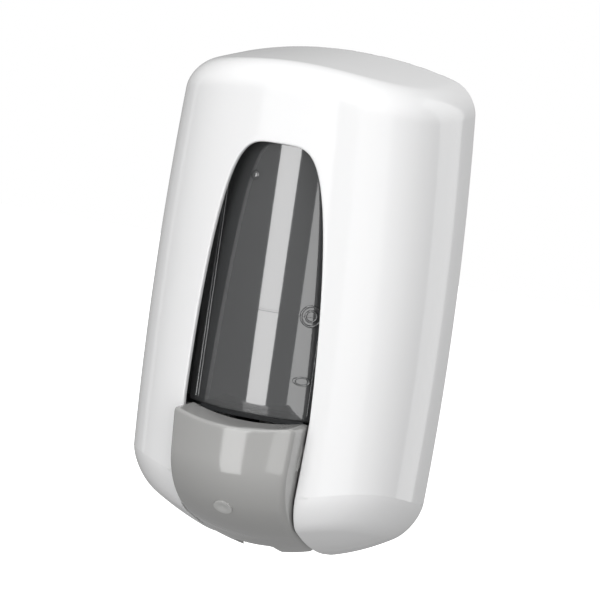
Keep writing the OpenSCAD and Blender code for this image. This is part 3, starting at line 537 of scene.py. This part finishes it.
def pad_profile(share, inset):
    """Points (depth, z) from the ledge's rear, over the front and the bend, to the tail, at a
    share of the half width."""
    k = share * share
    reach = max(0.0, (abs(share) * PAD_HALF - (PAD_HALF - PAD_EDGE)) / PAD_EDGE)
    edge = PAD_EDGE * (1 - math.sqrt(max(0.0, 1 - reach * reach)))
    e = inset if inset else edge
    front, top = PAD_FRONT - PAD_BOW * k - e, PAD_TOP - PAD_DIP * (1 - k) - e
    back = PIVOT_D - OPEN_END if inset else LEDGE_REAR - PAD_BOW * k
    x = share * PAD_HALF
    p0 = np.array([front, STRAIGHT_Z])
    p1 = np.array([front, BEND_Z - BEND_DIP * (1 - k) + e])
    p2 = np.array([TURN_D, bottom_face(x, TURN_D) + e])
    tail = PAD_REAR - OPEN_END if inset else PAD_REAR
    round_top = corner(np.array([front - LEDGE_R, top]), np.array([front, top]),
                       np.array([front, top - LEDGE_R]), 9)
    t = np.linspace(0, 1, 40)[:, None]
    bend = (1 - t) ** 2 * p0 + 2 * t * (1 - t) * p1 + t ** 2 * p2
    down = np.linspace([front, top - LEDGE_R], p0, 10)[1:-1]
    across = np.linspace([back, top], [front - LEDGE_R, top], 6)
    under = [[d, bottom_face(x, d) + e] for d in np.linspace(TURN_D, tail, 8)[1:]]
    return np.vstack([across, round_top, [[front, top - LEDGE_R]], down, bend, under])


def pad_solid(name, inset):
    turn = np.linspace(0, math.pi / 2, 10)
    rounded = (PAD_HALF - PAD_EDGE + PAD_EDGE * np.sin(turn)) / PAD_HALF
    shares = np.r_[np.linspace(0, rounded[0], 26)[:-1], rounded]
    shares = np.r_[-shares[:0:-1], shares]
    loops = []
    for s in shares:
        side = pad_profile(s, inset)
        x = s * (slot_half(np.minimum(side[:, 1], SLOT_LOW)) - PAD_GAP - inset)
        loops.append(np.c_[x, side])
    return tube(name, world(loops))


def plate_along_x(name, x0, x1, outline_2d):
    """A plate from x0 to x1 with an outline of (depth, z)."""
    return tube(name, world([[[x, d, z] for d, z in outline_2d] for x in (x0, x1)]))


pad = boolean(pad_solid("pad_shell", 0), pad_solid("hollow", PAD_WALL), "DIFFERENCE")
ARM_CLEAR, ARM_WALL, ARM_R, ARM_FOOT_Z, ARM_TOP_IN, ARM_TOP_DROP = 0.1, 2.6, 4.5, -62.0, 4.0, 3.5
HOLE_R, HOLE_REACH, HOLE_SIDES = 2.02, 5.0, 48
arm_x1 = float(slot_half(PIVOT_Z)) - PAD_GAP - ARM_CLEAR
arm_x0 = arm_x1 - ARM_WALL
turn = np.radians(np.linspace(45, 300, 28))
arm_line = [(PIVOT_D + ARM_R * math.cos(a), PIVOT_Z + ARM_R * math.sin(a)) for a in turn]
arm_line += [(LEDGE_REAR, ARM_FOOT_Z), (LEDGE_REAR - ARM_TOP_IN, PAD_TOP - ARM_TOP_DROP)]
for side in (-1, 1):
    x0, x1 = sorted((side * arm_x0, side * arm_x1))
    boolean(pad, plate_along_x("arm", x0, x1, arm_line), "UNION")
    hole = rod("hole", HOLE_R, -HOLE_REACH, HOLE_REACH,
               (side * (arm_x0 + ARM_WALL / 2), PIVOT_D, PIVOT_Z), "x", HOLE_SIDES)
    boolean(pad, hole, "DIFFERENCE")

# The pusher's round nose presses on the piston's head
PUMP_Z = sum(heights("return_spring")) / 2
PUSHER_D, PUSHER_FRONT, PUSHER_R, PUSHER_X, PUSHER_HALF = 84.3, 91.0, 3.0, 5.0, 2.0
push_line = [(PUSHER_D + PUSHER_R * math.cos(a), PUMP_Z + PUSHER_R * math.sin(a))
             for a in np.radians(np.linspace(90, 270, 20))]
push_line += [(PUSHER_FRONT, PUMP_Z - PUSHER_HALF), (PUSHER_FRONT, PUMP_Z + PUSHER_HALF)]
boolean(pad, plate_along_x("pusher", -PUSHER_X, PUSHER_X, push_line), "UNION")

# The tail's notch for the nozzle, and the room above its two prongs
NOTCH_CORNER, NOTCH_REAR, NOTCH_Z = 3.0, PAD_REAR - 12, (-125.0, -95.0)
notch = box("notch", -PRONG_X, PRONG_X, NOTCH_REAR, NOTCH_FRONT, *NOTCH_Z)
boolean(pad, settle(bevel(notch, NOTCH_CORNER, 5)), "DIFFERENCE")
prong_top = float(bottom_face(PAD_HALF, PRONG_FRONT)) + PRONG_H
above_prongs = box("above_prongs", -PAD_HALF - PAST, PAD_HALF + PAST, PAD_REAR - PAST,
                   PRONG_FRONT, prong_top, STRAIGHT_Z)
boolean(pad, above_prongs, "DIFFERENCE")

# The round dish on the pad's bend, for the badge
BADGE_SHARE, BADGE_R, BADGE_SINK, DISH_OUT, DISH_SIDES = 0.47, 4.2, 1.2, 6.0, 64
bend_points = np.array([[PAD_FRONT, STRAIGHT_Z], [PAD_FRONT, BEND_Z - BEND_DIP],
                        [TURN_D, float(bottom_face(0, TURN_D))]])
b = BADGE_SHARE
badge_at = ((1 - b) ** 2 * bend_points[0] + 2 * b * (1 - b) * bend_points[1]
            + b ** 2 * bend_points[2])
badge_run = (1 - b) * (bend_points[1] - bend_points[0]) + b * (bend_points[2] - bend_points[1])
badge_tilt = math.atan2(-badge_run[0], -badge_run[1])
dish = rod("dish", BADGE_R, -BADGE_SINK, DISH_OUT, (0, 0, 0), "z", DISH_SIDES)
dish.rotation_euler = (math.pi / 2 + badge_tilt, 0, 0)
dish.location = (0, -badge_at[0] * MM, badge_at[1] * MM)
boolean(pad, dish, "DIFFERENCE")
smooth(pad, 34)
dress(pad, "pad_grey", "pad")
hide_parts("push_pad")

# Tank --------------------------------------------------------------------------------
SPOUT_LOW, TANK_TOP = heights("tank")
TANK_LOW, TANK_WALL, TANK_FLOOR, TANK_OPEN = -42.0, 2.0, 3.0, 5.0
# The tank's bay is its narrower front, with a bowed face
BAY_FRONT = depths("tank")[1]
BAY_HALF, BAY_ROOT, BAY_BOW, BAY_STEPS = 31.0, 62.0, 10.9, 44
BAY_R = (BAY_HALF ** 2 + BAY_BOW ** 2) / (2 * BAY_BOW)
# Round corners behind the bay: centre (x, depth) and radius
REAR_CORNER, SHOULDER = (40.0, 16.0, 6.0), (38.0, 54.0, 8.0)
OUTER_SOFT, INNER_SOFT, TANK_ANGLE = 1.1, 0.9, 40
SPOUT_D, SPOUT_R, SPOUT_BEVEL = 28.0, 6.5, 0.4
SPOUT_TOP = TANK_LOW + 1
SPOUT_PROFILE = [(AXIS_R, SPOUT_LOW), (SPOUT_R - SPOUT_BEVEL, SPOUT_LOW),
                 (SPOUT_R, SPOUT_LOW + SPOUT_BEVEL), (SPOUT_R, SPOUT_TOP), (AXIS_R, SPOUT_TOP)]
BORE_R, BORE_Z = 4.5, (SPOUT_LOW - 1.5, TANK_LOW + 5)


def arc(round_corner, inset, a0, a1, n=14):
    """Points (x, depth) of a round corner, moved inwards by inset."""
    x, d, r = round_corner
    r -= inset
    return [(x + r * math.cos(a), d + r * math.sin(a)) for a in np.radians(np.linspace(a0, a1, n))]


def tank_side(inset):
    """The right half of the tank's outline (x, depth), from the wall side to the front."""
    x = np.linspace(BAY_HALF - inset, 0, BAY_STEPS)
    front = [(v, BAY_FRONT - BAY_R + math.sqrt((BAY_R - inset) ** 2 - v * v)) for v in x]
    return (arc(REAR_CORNER, inset, -90, 0) + arc(SHOULDER, inset, 0, 90)
            + [(BAY_HALF - inset, BAY_ROOT - inset)] + front)


def tank_prism(name, z0, z1, inset):
    """The tank's whole outline, drawn up from z0 to z1."""
    side = tank_side(inset)
    ring = side + [(-x, d) for x, d in side[-2::-1]]
    return tube(name, world([[[x, d, z] for x, d in ring] for z in (z0, z1)]))


def bay_depth(x):
    """Depth of the bay's front face."""
    return BAY_FRONT - BAY_R + math.sqrt(BAY_R ** 2 - x * x)


def on_bay(name, profile, x, z, squeeze=1.0):
    """A small turned moulding on the front of the tank, square to its surface."""
    piece = lathe(name, profile, (0, 0, 0), "z", MARK_SIDES)
    turn = math.asin(x / BAY_R)
    for vertex in piece.data.vertices:
        a, b, out = vertex.co.x, vertex.co.y * squeeze, vertex.co.z
        vertex.co = (x * MM + a * math.cos(turn) + out * math.sin(turn),
                     -bay_depth(x) * MM + a * math.sin(turn) - out * math.cos(turn),
                     z * MM + b)
    return dress(smooth(piece, 50), "tank_smoke", "chassis")


def ridge(r, wide, high, n=9):
    """Profile of a ring-shaped ridge, sunk a little into the tank's wall."""
    hump = np.linspace(0, math.pi, n)
    return [(r - wide / 2 * math.cos(a), high * math.sin(a)) for a in hump] + [
        (r + wide / 2, -MARK_SINK), (r - wide / 2, -MARK_SINK)]


def on_front(name, loops):
    """A fine line on the front of the tank."""
    return dress(smooth(tube(name, world(loops)), 60), "tank_smoke", "chassis")


tank = settle(bevel(tank_prism("tank_shell", TANK_LOW, TANK_TOP, 0), OUTER_SOFT, 4, TANK_ANGLE))
inside = tank_prism("inside", TANK_LOW + TANK_FLOOR, TANK_TOP + TANK_OPEN, TANK_WALL)
boolean(tank, settle(bevel(inside, INNER_SOFT, 3, TANK_ANGLE)), "DIFFERENCE")
boolean(tank, lathe("spout", SPOUT_PROFILE, (0, SPOUT_D, 0), "z"), "UNION")
boolean(tank, rod("bore", BORE_R, *BORE_Z, (0, SPOUT_D, 0), "z"), "DIFFERENCE")

# The marks that the photo shows on the tank, without anything that could be read
MARK_SIDES, MARK_SINK = 56, 0.6
RING_X, RING_Z, LENS_Z, LENS_SQUEEZE, PIP_X, PIP_Z = 21.5, 4.3, -24.3, 0.5, -11.6, 61.0
PIP_PROFILE = [(AXIS_R, -0.5), (2.1, -0.5), (2.1, 0.0), (1.9, 0.5), (1.3, 0.9), (0.7, 1.1),
               (AXIS_R, 1.15)]
on_bay("tank_ring_outer", ridge(4.4, 1.1, 0.6), RING_X, RING_Z)
on_bay("tank_ring_inner", ridge(2.4, 1.0, 0.55), RING_X, RING_Z)
on_bay("tank_lens", ridge(3.4, 1.5, 0.6), RING_X, LENS_Z, LENS_SQUEEZE)
on_bay("tank_pip", PIP_PROFILE, PIP_X, PIP_Z)
SEAM_X, SEAM_Z, SEAM_HALF, SEAM_OUT, SEAM_SINK = 26.0, 4.2, 0.5, 0.12, 0.04
around = np.linspace(0, 2 * math.pi, 12, endpoint=False)
on_front("tank_seam", [[[x, bay_depth(x) + SEAM_OUT * math.sin(a) - SEAM_SINK,
                         SEAM_Z + SEAM_HALF * math.cos(a)] for a in around]
                       for x in np.linspace(-SEAM_X, SEAM_X, 60)])
# Upright lines at the sides of the bay: |x| and half width
RIBS, RIB_Z, RIB_OUT, RIB_SINK = ((26.8, 0.55), (25.4, 0.3)), (-39.5, 86.0), 0.3, 0.05
for side, word in SIDES:
    for k, (x, wide) in enumerate(RIBS):
        on_front("tank_rib_%s_%d" % (word, k),
                 [[[side * x + wide * math.cos(a), bay_depth(x) + RIB_OUT * math.sin(a) - RIB_SINK,
                    z] for a in around] for z in np.linspace(*RIB_Z, 40)])
smooth(tank, 34)
dress(tank, "tank_smoke", "chassis")
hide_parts("tank")

# Return spring -----------------------------------------------------------------------
SPRING_SEAT, SPRING_HEAD = depths("return_spring")
SPRING_R, WIRE_R, TURNS = 5.5, 0.65, 6
TURN_STEPS, WIRE_SIDES = 48, 14


def coil():
    """Loops round the wire, from the fixed end to the piston's head."""
    n = TURNS * TURN_STEPS
    angle = np.linspace(0, TURNS * 2 * math.pi, n + 1)
    along = np.linspace(SPRING_SEAT + WIRE_R, SPRING_HEAD - WIRE_R, n + 1)
    loops = []
    for a, d in zip(angle, along):
        ring = []
        for b in np.linspace(0, 2 * math.pi, WIRE_SIDES, endpoint=False):
            r = SPRING_R + WIRE_R * math.cos(b)
            ring.append([r * math.cos(a), d + WIRE_R * math.sin(b), PUMP_Z + r * math.sin(a)])
        loops.append(ring)
    return loops


spring = smooth(tube("spring_coil", world(coil())), 40)
dress(spring, "steel", "piston")
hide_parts("return_spring")
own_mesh(spring)

# CAD nodes that keep their shape -----------------------------------------------------
# Some get soft edges, in mm. The others are used as they are.
slots = {p["node"]: p["material_slot"] for p in frame["record"]["subparts"]}
rebuilt = {"cover", "push_pad", "tank", "return_spring"}
soft_edges = {"back_plate": 0.5, "pump_bracket": 0.45, "tank_lid": 0.6, "tank_catch": 0.35,
              "pump_body": 0.4, "pump_cap": 0.35, "nozzle": 0.25, "nozzle_collar": 0.35,
              "piston": 0.3, "vent_plug": 0.3, "lock_barrel": 0.2, "lock_cam": 0.2,
              "lock_keeper": 0.25, "pad_badge": 0.12, "bracket_screws": 0.2,
              "pump_screws": 0.15, "keeper_screws": 0.2, "hinge_rod": 0.15, "pad_pins": 0.15}
body_of = {n: body for body, names in frame["record"]["behaviour"]["bodies"].items()
           for n in names}
for name, obj in nodes.items():
    if name in rebuilt:
        continue
    if name in soft_edges:
        soft = bpy.data.objects.new(name + "_moulded", obj.data.copy())
        bpy.context.scene.collection.objects.link(soft)
        settle(bevel(soft, soft_edges[name], 2, 50))
        dress(smooth(soft, 30), slots[name], body_of[name])
        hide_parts(name)
    else:
        obj.data.materials.clear()
        obj.data.materials.append(looks[slots[name]])

# Stage, light and camera -------------------------------------------------------------
FLOOR_HALF, FLOOR_Z, WHITE = 6.0, -0.6, (1, 1, 1, 1)
floor = mesh_object("floor", [(x * FLOOR_HALF, y * FLOOR_HALF, FLOOR_Z)
                              for x, y in ((-1, -1), (1, -1), (1, 1), (-1, 1))], [(0, 1, 2, 3)])
pale = bpy.data.materials.new("pale_floor")
pale.use_nodes = True
shader = pale.node_tree.nodes["Principled BSDF"]
shader.inputs["Base Color"].default_value = WHITE
shader.inputs["Emission Color"].default_value = WHITE
shader.inputs["Emission Strength"].default_value = 1.0
floor.data.materials.append(pale)
floor.visible_diffuse = floor.visible_glossy = floor.visible_transmission = False

# The world is white to the camera, and to everything else grey, a little lighter above
SKY = {"From Min": -0.5, "From Max": 0.6, "To Min": 0.36, "To Max": 0.37}
world_light = bpy.data.worlds.new("studio")
bpy.context.scene.world = world_light
world_light.use_nodes = True
tree = world_light.node_tree
link, new = tree.links.new, tree.nodes.new
grey, white = tree.nodes["Background"], new("ShaderNodeBackground")
place, split = new("ShaderNodeTexCoord"), new("ShaderNodeSeparateXYZ")
shade, path, mix = (new("ShaderNodeMapRange"), new("ShaderNodeLightPath"),
                    new("ShaderNodeMixShader"))
grey.inputs["Color"].default_value = WHITE
white.inputs["Color"].default_value = WHITE
white.inputs["Strength"].default_value = 1.0
for socket, value in SKY.items():
    shade.inputs[socket].default_value = value
link(place.outputs["Generated"], split.inputs["Vector"])
link(split.outputs["Z"], shade.inputs["Value"])
link(shade.outputs["Result"], grey.inputs["Strength"])
link(path.outputs["Is Camera Ray"], mix.inputs["Fac"])
link(grey.outputs[0], mix.inputs[1])
link(white.outputs[0], mix.inputs[2])
link(mix.outputs[0], tree.nodes["World Output"].inputs["Surface"])


def toward(azimuth, elevation):
    """The direction from the part to a place, in degrees from the front and up."""
    a, e = math.radians(azimuth), math.radians(elevation)
    return Vector((math.sin(a) * math.cos(e), -math.cos(a) * math.cos(e), math.sin(e)))


def softbox(name, azimuth, elevation, wide, tall, radiance):
    """A rectangular lamp, in metres, that faces the part."""
    lamp = bpy.data.lights.new(name, "AREA")
    lamp.shape, lamp.size, lamp.size_y = "RECTANGLE", wide, tall
    lamp.energy = radiance * math.pi * wide * tall
    obj = bpy.data.objects.new(name, lamp)
    bpy.context.scene.collection.objects.link(obj)
    way = toward(azimuth, elevation)
    obj.location = way * LAMP_DISTANCE
    obj.rotation_mode = "QUATERNION"
    obj.rotation_quaternion = way.to_track_quat("Z", "Y")


LAMP_DISTANCE = 2.0
softbox("strip", -10, 1, 0.74, 2.4, 3.9)
softbox("right_box", 45, 6, 1.8, 2.1, 1.63)
softbox("top_box", 10, 72, 1.8, 1.3, 3.0)
softbox("left_edge", -100, 5, 0.35, 2.0, 0.8)
softbox("rear_box", 150, 10, 0.7, 2.0, 0.9)

# The camera stands DISTANCE from MIDDLE and looks a little to the right of it and above it.
# Angles are in degrees, focal length and sensor in mm, and the rest in metres.
VIEW_AZ, VIEW_EL, ROLL = 18.0, 8.0, 8.251
DISTANCE, FOCAL, SENSOR = 1.1, 148.5, 36.0
MIDDLE, LOOK_RIGHT, LOOK_UP = Vector((0, -0.05, -0.02)), 0.010889, 0.025778
back = toward(VIEW_AZ, VIEW_EL)
right = Vector((math.cos(math.radians(VIEW_AZ)), math.sin(math.radians(VIEW_AZ)), 0))
up = back.cross(right)
roll = math.radians(ROLL)
across = right * math.cos(roll) + up * math.sin(roll)
upward = -right * math.sin(roll) + up * math.cos(roll)
target = MIDDLE + across * LOOK_RIGHT + upward * LOOK_UP
eye = MIDDLE + back * DISTANCE
camera = bpy.data.objects.new("camera", bpy.data.cameras.new("camera"))
bpy.context.scene.collection.objects.link(camera)
camera.data.lens, camera.data.sensor_width = FOCAL, SENSOR
z_axis = (eye - target).normalized()
x_axis = upward.cross(z_axis).normalized()
y_axis = z_axis.cross(x_axis)
camera.matrix_world = Matrix.Translation(eye) @ Matrix(
    (x_axis, y_axis, z_axis)).transposed().to_4x4()
bpy.context.scene.camera = camera
bpy.context.scene.view_settings.view_transform = "Standard"
